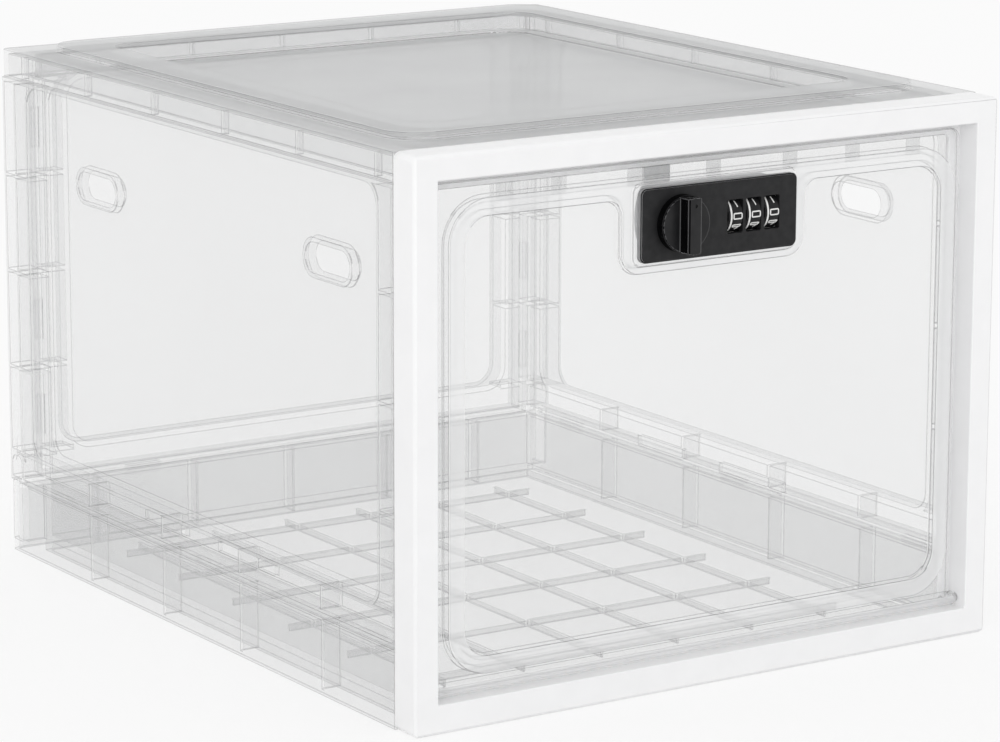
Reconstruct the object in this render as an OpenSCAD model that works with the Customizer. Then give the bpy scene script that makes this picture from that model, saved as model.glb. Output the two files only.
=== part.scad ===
// Clear lockable storage box: moulded base, walls and cover, a white front frame,
// a drop-front door hinged along its bottom edge, and a three-wheel combination cam lock.
// Inside each module, y = 0 is the front face of the white frame and +y runs to the back.

/* [Box] */
// Width over the side panels
box_w = 260; // [240:2:290]
// Depth from the front frame to the back
box_d = 316; // [290:2:350]
// Height to the flat edge of the top cover
box_h = 209.5; // [195:0.5:225]
// Thickness of the moulded walls
wall = 2; // [1.6:0.1:2.4]
// Depth of the ribbed bays outside the inner skins
bay = 10; // [8.5:0.5:12]
// Radius of the upright outer corners
corner_r = 2.5; // [1.5:0.5:5]

/* [Front frame] */
// Depth of the white front frame
frame_d = 13.7; // [13.4:0.1:16]
// Width of the frame's upright members
member_side = 10; // [9:0.5:13]
// Height of the frame's top member
member_top = 9.5; // [9:0.5:12]
// Height of the frame's bottom member
member_bottom = 11; // [9.5:0.5:14]
// How far the door stop reaches into the opening
stop_lip = 5; // [3.5:0.5:6.5]
// Radius of the pegs behind the frame
peg_r = 2.2; // [1.8:0.1:2.4]

/* [Base] */
// Height of the base up to the ledge that carries the walls
ledge_h = 30; // [26:0.5:36]
// Height of the underside of the floor
floor_z = 4; // [3:0.5:6]
// Thickness of the floor
floor_t = 2.5; // [1.8:0.1:3.5]
// Pitch of the floor ribs that run front to back
floor_rib_pitch = 35.2; // [28:0.2:45]
// Pitch of the floor ribs that run side to side
floor_cross_pitch = 43.9; // [34:0.1:55]

/* [Walls] */
// Depth of the front posts from front to back
front_post = 11.9; // [10:0.1:16]
// Depth of the back posts from front to back
back_post = 21.4; // [18:0.2:28]
// Height of the lower rail of each wall
rail_h = 13.6; // [12:0.2:18]
// Corner radius of the recessed wall panels
field_r = 8; // [5:0.5:14]
// Clear length of a hand hole
hand_l = 31; // [26:0.5:36]
// Clear height of a hand hole
hand_h = 11; // [9:0.5:15]
// Distance of the hand holes to each side of the wall's middle
hand_off = 89; // [70:1:100]
// Height of the hand holes below the top edge
hand_drop = 49; // [40:0.5:60]
// Height that the raised edge of a hand hole stands out
hand_rim = 3; // [2:0.2:5]

/* [Top cover] */
// Height of the cover's skirt
skirt_h = 11.4; // [10:0.2:14]
// Height of the stacking rim above the cover
rim_h = 3; // [2:0.2:3.4]
// Width of the stacking rim
rim_w = 18; // [14:0.5:20]
// Outer corner radius of the stacking rim
rim_r = 14; // [8:0.5:20]
// Corner radius of the sunken panel
well_r = 12; // [8:0.5:18]
// Distance of the stacking rim behind the front frame
rim_setback = 14.3; // [12:0.1:18]
// Depth of the sunken panel below the top edge
well_d = 4.5; // [3:0.5:6]
// Pitch of the ribs inside the skirt
skirt_rib_pitch = 54.5; // [44:0.5:64]
// Pitch of the ribs inside the cover's front edge
header_pitch = 34.5; // [30:0.5:40]
// Depth of the double front edge of the cover
header_depth = 8.6; // [7:0.2:10]

/* [Door] */
// Gap between the door and the opening at each side
door_gap = 1.5; // [1:0.1:2]
// Gap above the door
door_top_gap = 2.5; // [2:0.1:3.5]
// Distance from the front of the frame to the door's raised ridge
crest_y = 4; // [3.8:0.1:4.4]
// Width of the door's raised ridge
ridge_w = 7; // [6:0.2:9]
// Outer corner radius of the raised ridge
ridge_r = 17; // [13:0.5:22]
// Radius of the hinge barrel
barrel_r = 2.7; // [2.4:0.1:3]
// Radius of the hinge pins
pin_r = 1.5; // [1.2:0.1:1.8]

/* [Lock] */
// Width of the lock's faceplate
plate_w = 69.8; // [69.4:0.2:74]
// Height of the lock's faceplate
plate_h = 27.3; // [26.9:0.1:30]
// Thickness of the lock's faceplate
plate_t = 2.5; // [2.4:0.1:2.8]
// Distance of the lock's centre below the top of the box
lock_drop = 34.2; // [33.4:0.2:40]
// Distance of the lock's centre to the right of the box's middle
lock_x = 1.2; // [-20:0.2:20]
// Distance of the knob's axis to the left of the lock's centre
knob_off = 17.6; // [17.2:0.1:18]
// Radius of the knob
knob_r = 10.6; // [9.6:0.2:11]
// Thickness of the knob's disc
knob_t = 3.7; // [3:0.1:4.5]
// Width of the knob's grip bar
grip_w = 6; // [5:0.2:9]
// Height of the grip bar above the knob's disc
grip_h = 5.5; // [4:0.5:8]
// Radius of a number wheel
wheel_r = 7.2; // [6.9:0.1:7.3]
// Width of a number wheel
wheel_w = 6.2; // [5.8:0.1:6.3]
// Distance between the centres of the number wheels
wheel_pitch = 8.25; // [8.1:0.05:8.4]
// Length of the cam from the knob's axis to its tip
cam_reach = 21; // [19:0.5:23]
// Width of the cam
cam_w = 11.7; // [10:0.1:13]

/* [Hidden] */
$fn = 64;

// Clearances
run_gap = 0.05;         // radial clearance of a running shaft
seat_gap = 0.1;         // between moulded pieces that slot together
move_gap = 0.3;         // between pieces that pass each other

// Box envelope
half_w = box_w / 2;
mid_y = (frame_d + box_d) / 2;
skin_out = half_w - bay;
skin_in = skin_out - wall;
back_out = box_d - bay;
back_in = back_out - wall;
skirt_z = box_h - skirt_h;
under_cover = box_h - wall;

// Frame opening and door stop
open_x = half_w - member_side;
open_z0 = member_bottom;
open_z1 = box_h - member_top;
lip_y = crest_y + 4.5 + wall + move_gap;
lip_t = frame_d - lip_y - 0.9;

// Recessed fields of the walls
field_y0 = frame_d + front_post;
field_y1 = box_d - back_post;
field_z0 = ledge_h + rail_h;
field_z1 = skirt_z - wall;
mid_web_y = box_d - back_post / 2 - 0.8;
rib_step = (field_z1 - field_z0) / 3.82;
rib_levels = [for (i = [1:3]) field_z0 - 6 + i * rib_step];
rib_t = 1.6;
web_t = 1.2;
web_foot = 1.5;
foot_lip = 5.2;
skirt_rib_d = 1.8;
back_border = 12;
base_web_pitch = (box_d - frame_d) / 5;
base_webs = [for (i = [-1.5:1:1.5]) mid_y - 7 + i * base_web_pitch];
slot_h = 4;
slot_z = ledge_h + wall + 0.4;
slot_spans = [[-48.8, -6.2], [20.6, 52.5]];

// Tongues that lock the walls into the base and to each other
tongue_l = 16;
tongue_t = 2;
tongue_d = 4.5;
side_tongues = [for (i = [-2:2:2]) mid_y - 7 + i * base_web_pitch];
back_tongues = [-0.6 * skin_in, 0.6 * skin_in];
hook_levels = [for (i = [0.5, 1.5, 3.5]) field_z0 - 6 + i * rib_step];

// Stacking rim
rim_x = skin_in - 0.5;
rim_y0 = frame_d + rim_setback;
rim_y1 = back_in - 2;
panel_margin = 5;
panel_step = 0.8;

// Pegs of the front frame
side_pegs = [for (f = [0.3, 0.72]) f * box_h];
cross_pegs = [-0.29 * open_x, 0.29 * open_x];

// Door
hinge_y = crest_y + 2.5;
hinge_z = open_z0 + move_gap + barrel_r;
door_x = open_x - door_gap;
door_z1 = open_z1 - door_top_gap;
flange_y = crest_y + 4.5;
panel_y = crest_y + 2.5;
ridge_x = door_x - 5.2;
ridge_z0 = hinge_z + 4.2;
ridge_z1 = door_z1 - 5.5;
pin_in_door = 5.5;
pin_in_frame = 6.3;

// Lock: pad on the door, plate and housing
lock_z = box_h - lock_drop;
knob_x = lock_x - knob_off;
pad_rise = 0.9;
pad_rim = 1.5;
plate_back = crest_y - pad_rise;
plate_y = plate_back - plate_t;
plate_r = 2.5;
dip_gap = 6;
housing_left = 9.6;
housing_right = 30.3;
housing_x0 = knob_x - housing_left;
housing_x1 = lock_x + housing_right;
housing_h = 23.8;
housing_end_r = 24;
wheel_y = plate_y - 0.3 + wheel_r;
housing_back = wheel_y + wheel_r + move_gap;
cover_t = 1.2;
cover_back = housing_back + cover_t;
wheel_x = [for (i = [-1:1]) lock_x + 15.05 + i * wheel_pitch];
wheel_bay_x0 = wheel_x[0] - wheel_w / 2 - 2.1;
wheel_bay_x1 = wheel_x[2] + wheel_w / 2 + 0.4;
wheel_bay_h = wheel_r + 1.4;
window_w = 6.9;
window_h = 12.5;

// Lock: strike, cam and spindle behind the housing
strike_y = frame_d + wall;
strike_t = 1;
cam_y = max(strike_y + strike_t, cover_back) + move_gap;
cam_t = 1.6;
strike_z0 = lock_z + housing_h / 2 + move_gap;
strike_z1 = under_cover - 4;
rivet_r = 1.5;
hub_r = 5;
spindle_r = 3;
square_s = 4.2;
cam_screw_r = 3.4;
cam_screw_l = 5;
lobe_r = 8.9;
lobe_y = wheel_y - 1.3;

// Lock: inner pieces
axle_r = 1.5;
sleeve_r = 3.6;
code_disc_r = 5.4;
code_disc_t = 1.2;
gate_w = 2.6;
gate_r = 3.4;
fence_drop = 10.8;
fence_h = 1.6;
fence_half = 1.5;
fence_play = 1.5;
reset_x = knob_x + 0.56 * housing_h;
reset_z = lock_z - housing_h / 3;
reset_r = 1.6;
reset_flange_r = 2.3;
reset_flange_t = 1;
reset_depth = 5;

// Knob
knob_back = plate_y - move_gap;
knob_face = knob_back - knob_t;
knob_front = knob_face - grip_h;

// The origin is at the bottom centre of the whole object, knob included
front_y = -(box_d + knob_front) / 2;

// Moves a piece from the front-based y to the object's own origin
module at_front() {
    translate([0, front_y, 0]) children();
}

module block(x0, x1, y0, y1, z0, z1) {
    translate([x0, y0, z0]) cube([x1 - x0, y1 - y0, z1 - z0]);
}

// Rounded rectangle from exact squares and circles
module rrect(x0, x1, y0, y1, r) {
    translate([x0 + r, y0]) square([x1 - x0 - 2 * r, y1 - y0]);
    translate([x0, y0 + r]) square([x1 - x0, y1 - y0 - 2 * r]);
    for (x = [x0 + r, x1 - r])
        for (y = [y0 + r, y1 - r])
            translate([x, y]) circle(r);
}

// Extrusions of a flat outline: x and z along y, y and z along x, x and y along z
module along_y(y0, y1) {
    translate([0, y1, 0]) rotate([90, 0, 0]) linear_extrude(y1 - y0) children();
}
module along_x(x0, x1) {
    translate([x0, 0, 0]) rotate([90, 0, 90]) linear_extrude(x1 - x0) children();
}
module along_z(z0, z1) {
    translate([0, 0, z0]) linear_extrude(z1 - z0) children();
}

module rod_y(x, z, r, y0, y1) {
    translate([x, y0, z]) rotate([-90, 0, 0]) cylinder(r = r, h = y1 - y0);
}
module rod_x(y, z, r, x0, x1) {
    translate([x0, y, z]) rotate([0, 90, 0]) cylinder(r = r, h = x1 - x0);
}

// Plan of the body behind the frame: square at the front, rounded at the back
module body_plan() {
    rrect(-half_w, half_w, frame_d, box_d, corner_r);
    translate([-half_w, frame_d]) square([box_w, 2 * corner_r]);
}

// Base: floor, inner walls, outer skirt and the ledge that carries the walls
module base_tray() {
    color("gainsboro", 0.5) at_front() difference() {
        union() {
            difference() {
                along_z(0, ledge_h) body_plan();
                block(-half_w + wall, half_w - wall, frame_d + wall, box_d - wall, -1, ledge_h - wall);
                block(-skin_in, skin_in, frame_d + wall, back_in, -1, ledge_h + 1);
            }
            difference() {
                block(-skin_out, skin_out, frame_d, back_out, 0, ledge_h);
                block(-skin_in, skin_in, frame_d + wall, back_in, -1, ledge_h + 1);
            }
            block(-skin_in, skin_in, frame_d, back_in, floor_z, floor_z + floor_t);
            base_bay_webs();
            floor_ribs();
        }
        for (s = [-1, 1])
            translate([s * (half_w - wall / 2), 0, 0])
                block(-wall / 2 - 0.01, wall, mid_web_y + wall, box_d - wall, foot_lip, ledge_h + 1);
        block(-skin_in, skin_in, frame_d - 1, frame_d + wall + 1, open_z0, ledge_h + 1);
        for (x = cross_pegs)
            rod_y(x, open_z0 / 2, peg_r + run_gap, frame_d - 1, frame_d + wall);
        for (s = [-1, 1], y = side_tongues)
            translate([s * (half_w - bay / 2), y, ledge_h - wall / 2])
                cube([tongue_t + 2 * seat_gap, tongue_l + 2 * seat_gap, wall + 2], center = true);
        for (x = back_tongues)
            translate([x, box_d - bay / 2, ledge_h - wall / 2])
                cube([tongue_l + 2 * seat_gap, tongue_t + 2 * seat_gap, wall + 2], center = true);
    }
}

// Upright webs between the two walls of the base
module base_bay_webs() {
    for (s = [-1, 1], y = base_webs)
        translate([s * (half_w - bay / 2), y, 0])
            block(-bay / 2 + 0.5, bay / 2 - 0.5, -web_t / 2, web_t / 2, web_foot, ledge_h);
    for (s = [-1, 1])
        translate([s * (half_w - bay / 2), mid_web_y, 0])
            block(-bay / 2, bay / 2, 0, wall, foot_lip, ledge_h);
    for (i = [-2:2])
        translate([i * skin_in * 0.4, box_d - bay / 2, ledge_h / 2])
            cube([web_t, bay - 1, ledge_h], center = true);
}

// Lattice of ribs under the floor
module floor_ribs() {
    rib_foot = 1.2;
    edge = rim_w + 0.5;
    for (i = [-2.5:1:2.5])
        translate([i * floor_rib_pitch, 0, 0])
            block(-web_t / 2, web_t / 2, rim_y0 + edge, rim_y1 - edge, rib_foot, floor_z + 0.5);
    for (i = [-2.5:1:2.5])
        translate([0, mid_y - 1.3 + i * floor_cross_pitch, 0])
            block(-rim_x + edge, rim_x - edge, -web_t / 2, web_t / 2, rib_foot, floor_z + 0.5);
}

// One side wall, drawn on the right: inner skin, raised border, ribbed posts, hand holes
module side_wall() {
    difference() {
        union() {
            block(skin_in, skin_out, frame_d, box_d, ledge_h, under_cover);
            along_x(skin_in, half_w) difference() {
                rrect(field_y0 - wall, field_y1 + wall,
                      field_z0 - wall, field_z1 + wall, field_r + wall);
                rrect(field_y0, field_y1, field_z0, field_z1, field_r);
            }
            for (y = [frame_d, mid_web_y, box_d - wall])
                block(skin_in, half_w, y, y + wall, ledge_h, skirt_z);
            for (z = [ledge_h, field_z0 - wall, skirt_z - wall]) {
                block(skin_in, half_w, frame_d, field_y0 + field_r, z, z + wall);
                block(skin_in, half_w, field_y1 - field_r, box_d, z, z + wall);
            }
            block(skin_in, half_w, frame_d, box_d, ledge_h, ledge_h + wall);
            for (z = rib_levels) {
                block(skin_in, half_w, frame_d, field_y0, z, z + rib_t);
                block(skin_in, half_w, field_y1, box_d, z, z + rib_t);
            }
            for (y = base_webs)
                block(skin_in, half_w - 1, y - web_t / 2, y + web_t / 2, ledge_h, field_z0);
            post_foot();
            for (y = side_tongues)
                translate([half_w - bay / 2, y, ledge_h + wall / 2 - tongue_d / 2])
                    cube([tongue_t, tongue_l, tongue_d + wall], center = true);
            for (s = [-1, 1])
                along_x(skin_in, skin_out + hand_rim) hand_outline(s, 2.2);
        }
        for (s = [-1, 1])
            along_x(skin_in - 1, half_w + 1) hand_outline(s, 0);
        for (span = slot_spans)
            block(skin_in - 1, skin_out, mid_y + span[0], mid_y + span[1], slot_z, slot_z + slot_h);
        block(skin_in - 1, skin_out + 1, frame_d - 1, frame_d + wall + seat_gap, skirt_z, box_h);
        block(skin_in - 1, skin_out + 1, back_out, box_d + 1, skirt_z, box_h);
        for (z = side_pegs)
            rod_y(half_w - member_side / 2, z, peg_r + run_gap, frame_d - 1, frame_d + wall + 1);
        for (z = hook_levels)
            translate([skin_in + wall / 2, back_out + 3, z])
                cube([wall + 2, tongue_t + 2 * seat_gap, tongue_l + 2 * seat_gap], center = true);
    }
}

// Stadium outline of a hand hole on side s, grown by g
module hand_outline(s, g) {
    y = mid_y - 5 + s * hand_off;
    z = box_h - hand_drop;
    h = hand_h + 2 * g;
    rrect(y - hand_l / 2 - g, y + hand_l / 2 + g, z - h / 2, z + h / 2, h / 2 - 0.01);
}

// Arched plate at the foot of the back post
module post_foot() {
    foot_y = mid_web_y + wall;
    arch_r = 2.6;
    along_x(half_w - wall, half_w) difference() {
        translate([foot_y - wall, ledge_h]) square([box_d - foot_y + wall, field_z0 - ledge_h]);
        rrect(foot_y, box_d - wall, ledge_h - 4 * wall, field_z0 - wall - 1, arch_r);
    }
}

module right_side_panel() {
    color("whitesmoke", 0.4) at_front() side_wall();
}

module left_side_panel() {
    color("whitesmoke", 0.4) at_front() mirror([1, 0, 0]) side_wall();
}

// Back wall between the side walls
module back_panel() {
    edge_x = skin_in - seat_gap;
    border_x = edge_x - back_border;
    color("whitesmoke", 0.4) at_front() union() {
        block(-edge_x, edge_x, back_in, back_out, ledge_h, under_cover);
        along_y(back_in, box_d) difference() {
            rrect(-border_x - wall, border_x + wall,
                  field_z0 - wall, field_z1 + wall, field_r + wall);
            rrect(-border_x, border_x, field_z0, field_z1, field_r);
        }
        for (s = [-1, 1]) {
            translate([s * (edge_x - wall / 2), 0, 0])
                block(-wall / 2, wall / 2, back_in, box_d, ledge_h, skirt_z);
            for (z = concat(rib_levels, [ledge_h, field_z0 - wall, skirt_z - wall]))
                translate([s * (edge_x + border_x) / 2, 0, 0])
                    block(-(edge_x - border_x) / 2, (edge_x - border_x) / 2, back_in, box_d, z, z + rib_t);
            for (z = hook_levels)
                translate([s * (skin_in + 1), back_out + 3, z])
                    cube([6, tongue_t, tongue_l], center = true);
        }
        block(-edge_x, edge_x, back_in, box_d, ledge_h, ledge_h + wall);
        for (x = back_tongues)
            translate([x, box_d - bay / 2, ledge_h + wall / 2 - tongue_d / 2])
                cube([tongue_l, tongue_t, tongue_d + wall], center = true);
    }
}

// Outline of the stacking rim, drawn in by m
module rim_plan(m) {
    rrect(-rim_x + m, rim_x - m, rim_y0 + m, rim_y1 - m, max(rim_r - m, well_r));
}

// Cover: ribbed skirt, stacking rim and sunken panel
module top_cover() {
    well_z = box_h - well_d - wall;
    groove = skin_out + seat_gap;
    groove_y = back_out + seat_gap;
    color("lightgray", 0.5) at_front() difference() {
        union() {
            difference() {
                along_z(skirt_z, box_h) body_plan();
                block(-half_w + wall, half_w - wall, frame_d + wall, box_d - wall, skirt_z - 1, under_cover);
            }
            for (s = [-1, 1])
                translate([s * (groove + wall / 2), 0, 0])
                    block(-wall / 2, wall / 2, frame_d, box_d, skirt_z, box_h - 0.5);
            block(-groove, groove, groove_y, groove_y + wall, skirt_z, box_h - 0.5);
            skirt_ribs();
            front_header();
            along_z(under_cover, box_h + rim_h) rim_plan(0);
            along_z(well_z, box_h) rim_plan(rim_w - wall);
        }
        along_z(under_cover - 1, box_h + rim_h - wall) difference() {
            rim_plan(wall);
            rim_plan(rim_w - wall);
        }
        along_z(well_z + wall, box_h + rim_h + 1) rim_plan(rim_w);
        along_z(well_z + wall - panel_step, box_h) rim_plan(rim_w + panel_margin);
        for (x = cross_pegs)
            rod_y(x, box_h - member_top / 2, peg_r + run_gap, frame_d - 1, frame_d + wall + 1);
        strike_rivet_holes(frame_d - 1, frame_d + wall + 1);
    }
}

// Short ribs inside the outer wall of the skirt
module skirt_ribs() {
    for (s = [-1, 1], i = [-2.5:1:2.5])
        translate([s * (half_w - wall - skirt_rib_d / 2), mid_y + i * skirt_rib_pitch,
                   (skirt_z + box_h) / 2])
            cube([skirt_rib_d + wall, web_t, skirt_h - 0.5], center = true);
    for (i = [-2:2])
        translate([i * skirt_rib_pitch * 0.8, box_d - wall - skirt_rib_d / 2, (skirt_z + box_h) / 2])
            cube([web_t, skirt_rib_d + wall, skirt_h - 0.5], center = true);
}

// Double front edge of the cover, its ribs placed clear of the strike
module front_header() {
    edge_x = skin_in - seat_gap;
    depth = header_depth;
    block(-edge_x, edge_x, frame_d, frame_d + wall, skirt_z - wall * 2, box_h - 0.5);
    block(-edge_x, edge_x, frame_d + depth, frame_d + depth + wall, skirt_z, box_h - 0.5);
    for (i = [-2.5:1:2.5])
        translate([knob_x + header_pitch / 4 + 0.4 + i * header_pitch, 0, 0])
            block(-rib_t / 2, rib_t / 2, frame_d + 1, frame_d + depth + 1, skirt_z - wall * 2, box_h - 1);
}

// White frame: channel section with a door stop, hinge sockets and pegs
module front_frame() {
    edge_r = 1.5;
    color("white") at_front() difference() {
        union() {
            difference() {
                frame_outside(edge_r);
                block(-open_x, open_x, -1, frame_d + 1, open_z0, open_z1);
                along_y(wall, frame_d + 1) difference() {
                    rrect(-half_w + wall, half_w - wall, wall, box_h - wall, 1);
                    rrect(-open_x - wall, open_x + wall, open_z0 - wall, open_z1 + wall, 1);
                }
            }
            along_y(lip_y, lip_y + lip_t) difference() {
                rrect(-open_x - 1, open_x + 1, open_z0, open_z1 + 1, 1);
                rrect(-open_x + stop_lip, open_x - stop_lip, open_z0 - 4, open_z1 - stop_lip, 2);
            }
            for (s = [0, 1])
                mirror([s, 0, 0]) {
                    block(open_x, half_w - wall / 2, 1, frame_d - 1,
                          hinge_z - barrel_r - 2, hinge_z + barrel_r + 2);
                    for (z = side_pegs)
                        rod_y(half_w - member_side / 2, z, peg_r, 1, frame_d + wall - 0.2);
                }
            for (x = cross_pegs, z = [open_z0 / 2, box_h - member_top / 2])
                rod_y(x, z, peg_r, 1, frame_d + wall - 0.2);
            frame_ribs();
        }
        for (s = [0, 1])
            mirror([s, 0, 0])
                rod_x(hinge_y, hinge_z, pin_r + run_gap, open_x - 1, open_x + pin_in_frame + move_gap);
    }
}

// Outside of the frame with its front edges rounded
module frame_outside(r) {
    intersection() {
        along_y(0, frame_d) rrect(-half_w, half_w, 0, box_h, corner_r);
        along_z(-1, box_h + 1) {
            rrect(-half_w, half_w, 0, frame_d, r);
            translate([-half_w, frame_d - 2 * r]) square([box_w, 2 * r]);
        }
        along_x(-half_w - 1, half_w + 1) {
            rrect(0, frame_d, 0, box_h, r);
            translate([frame_d - 2 * r, 0]) square([2 * r, box_h]);
        }
    }
}

// Cross ribs inside the channel of the frame
module frame_ribs() {
    for (s = [-1, 1], f = [0.16, 0.45, 0.58, 0.88])
        translate([s * (open_x + member_side / 2), 0, f * box_h])
            block(-member_side / 2 + 1, member_side / 2 - 1, 1, frame_d - 2, -rib_t / 2, rib_t / 2);
    for (i = [-3:3]) {
        translate([i * open_x * 0.24, 0, 0])
            block(-rib_t / 2, rib_t / 2, 1, frame_d - 2, open_z1 + 1, box_h - 1);
        translate([i * open_x * 0.24, 0, 0])
            block(-rib_t / 2, rib_t / 2, 1, frame_d - 2, 1, open_z0 - 1);
    }
}

// Clear field of the door inside its ridge, grown by m, with the dip round the lock
module door_field(m) {
    x = ridge_x - ridge_w + m;
    z0 = ridge_z0 + ridge_w - m;
    z1 = ridge_z1 - ridge_w + m;
    difference() {
        rrect(-x, x, z0, z1, ridge_r - ridge_w + m);
        lock_dip(m, z1);
    }
}

module lock_dip(m, top) {
    x0 = lock_x - plate_w / 2 - dip_gap + m;
    x1 = lock_x + plate_w / 2 + dip_gap - m;
    z0 = lock_z - plate_h / 2 - dip_gap + 1.5 + m;
    mouth_r = 6 + m;
    rrect(x0, x1, z0, top + plate_h, 8 - m);
    difference() {
        translate([x0 - mouth_r, top - mouth_r]) square([x1 - x0 + 2 * mouth_r, mouth_r + 1]);
        translate([x0 - mouth_r, top - mouth_r]) circle(mouth_r);
        translate([x1 + mouth_r, top - mouth_r]) circle(mouth_r);
    }
}

module ridge_outline(m) {
    rrect(-ridge_x + m, ridge_x - m, ridge_z0 + m, ridge_z1 - m, ridge_r - m);
}

module plate_outline(g) {
    rrect(lock_x - plate_w / 2 - g, lock_x + plate_w / 2 + g,
          lock_z - plate_h / 2 - g, lock_z + plate_h / 2 + g, plate_r + g * 0.7);
}

// Outline of the lock housing with its bowed left end, grown by g
module housing_outline(g) {
    intersection() {
        rrect(housing_x0 - g, housing_x1 + g,
              lock_z - housing_h / 2 - g, lock_z + housing_h / 2 + g, 1.5);
        union() {
            translate([housing_x0 + housing_end_r, lock_z]) circle(housing_end_r + g, $fn = 128);
            translate([housing_x0 + housing_end_r, lock_z - housing_end_r])
                square([housing_x1 - housing_x0, 2 * housing_end_r]);
        }
    }
}

// Door: flat border, hollow ridge, recessed clear field, pad for the lock and hinge barrel
module door_panel() {
    color("white", 0.35) at_front() difference() {
        union() {
            along_y(flange_y, flange_y + wall) difference() {
                rrect(-door_x, door_x, hinge_z - 1, door_z1, 4);
                ridge_outline(1);
            }
            along_y(crest_y, flange_y + wall) difference() {
                ridge_outline(0);
                ridge_outline(wall);
            }
            along_y(crest_y, crest_y + wall) difference() {
                ridge_outline(0);
                door_field(0);
            }
            along_y(crest_y, panel_y + wall) difference() {
                door_field(wall);
                door_field(0);
            }
            along_y(panel_y, panel_y + wall) door_field(1);
            along_y(plate_back, crest_y + wall / 2) plate_outline(pad_rim);
            rod_x(hinge_y, hinge_z, barrel_r, -door_x, door_x);
            block(-door_x, door_x, hinge_y, flange_y + wall, hinge_z - 1, hinge_z + 1);
        }
        along_y(plate_back - 1, flange_y + wall + 1) housing_outline(seat_gap);
        for (x = mounting_x())
            rod_y(x, lock_z, 1.4, plate_back - 1, flange_y);
        for (s = [0, 1])
            mirror([s, 0, 0])
                rod_x(hinge_y, hinge_z, pin_r, door_x - pin_in_door, door_x + 1);
    }
}

function mounting_x() = [(lock_x - plate_w / 2 + housing_x0) / 2,
                         (housing_x1 + lock_x + plate_w / 2) / 2 + 0.1];

module hinge_pin() {
    rod_x(hinge_y, hinge_z, pin_r, door_x - pin_in_door, open_x + pin_in_frame);
}

module hinge_pin_right() {
    color("silver") at_front() hinge_pin();
}

module hinge_pin_left() {
    color("silver") at_front() mirror([1, 0, 0]) hinge_pin();
}

// Metal keeper behind the frame that the cam turns up behind
module strike_plate() {
    color("gray") at_front() difference() {
        along_y(strike_y, strike_y + strike_t)
            rrect(knob_x - cam_w / 2, knob_x + cam_w / 2, strike_z0, strike_z1, 1);
        strike_rivet_holes(strike_y - 1, strike_y + strike_t + 1);
    }
}

module strike_rivet_holes(y0, y1) {
    for (s = [-1, 1])
        rod_y(knob_x + s * cam_w / 4, strike_z1 - 2.6, rivet_r, y0, y1);
}

module strike_rivets() {
    color("silver") at_front() for (s = [-1, 1]) {
        rod_y(knob_x + s * cam_w / 4, strike_z1 - 2.6, rivet_r, frame_d, strike_y + strike_t);
        rod_y(knob_x + s * cam_w / 4, strike_z1 - 2.6, rivet_r + 0.6,
              strike_y + strike_t, strike_y + strike_t + 0.6);
    }
}

// Faceplate with the knob's bore and three windows, relieved behind for the wheels
module lock_faceplate() {
    color([0.19, 0.19, 0.19]) at_front() difference() {
        union() {
            along_y(plate_y + 0.6, plate_back) plate_outline(0);
            along_y(plate_y, plate_y + 0.6) plate_outline(-0.5);
        }
        rod_y(knob_x, lock_z, hub_r + run_gap, plate_y - 1, plate_back + 1);
        for (x = wheel_x) {
            along_y(plate_y - 1, plate_back + 1)
                rrect(x - window_w / 2, x + window_w / 2, lock_z - window_h / 2, lock_z + window_h / 2, 0.8);
            rod_x(wheel_y, lock_z, wheel_r + 0.4, x - wheel_w / 2 - 0.3, x + wheel_w / 2 + 0.3);
        }
        rod_x(wheel_y, lock_z, code_disc_r + 0.3, wheel_bay_x0, wheel_bay_x1);
        for (x = mounting_x())
            rod_y(x, lock_z, 1.2, plate_y + 0.8, plate_back + 1);
    }
}

// Housing that passes through the door and carries the wheels, spindle and fence
module lock_housing() {
    color("darkgray") at_front() difference() {
        along_y(plate_back, housing_back) housing_outline(0);
        block(wheel_bay_x0, wheel_bay_x1, plate_back - 1, housing_back + 1,
              lock_z - wheel_bay_h, lock_z + wheel_bay_h);
        rod_y(knob_x, lock_z, hub_r + run_gap, plate_back - 1, housing_back + 1);
        rod_y(knob_x, lock_z, lobe_r + move_gap, lobe_y - move_gap, lobe_y + 2.6 + move_gap);
        block(knob_x - 4, wheel_bay_x1, wheel_y - fence_half - move_gap, wheel_y + fence_half + move_gap,
              lock_z - fence_drop - 0.2, lock_z - wheel_bay_h + 1);
        rod_x(wheel_y, lock_z, axle_r, wheel_bay_x0 - 1.9, wheel_bay_x1 + 1.6);
        rod_y(reset_x, reset_z, reset_r + run_gap, housing_back - reset_depth, housing_back + 1);
        rod_y(reset_x, reset_z, reset_flange_r + seat_gap, housing_back - reset_flange_t - 1.6, housing_back + 1);
        cover_screw_shanks();
    }
}

// Places of the screws that hold the back cover
function cover_screws() = [[knob_x + housing_h * 0.345, lock_z + housing_h * 0.39],
                           [knob_x + housing_h * 0.345, lock_z - housing_h * 0.39],
                           [(wheel_bay_x1 + housing_x1) / 2, lock_z]];

module cover_screw_shanks() {
    for (p = cover_screws())
        rod_y(p[0], p[1], 0.8, housing_back - 4, housing_back + 1);
}

module lock_back_cover() {
    color("dimgray") at_front() difference() {
        along_y(housing_back, cover_back) housing_outline(0);
        rod_y(knob_x, lock_z, spindle_r + run_gap, housing_back - 1, cover_back + 1);
        rod_y(reset_x, reset_z, reset_r + run_gap, housing_back - 1, cover_back + 1);
        for (p = cover_screws())
            rod_y(p[0], p[1], 1.5, housing_back - 1, cover_back + 1);
    }
}

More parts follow.
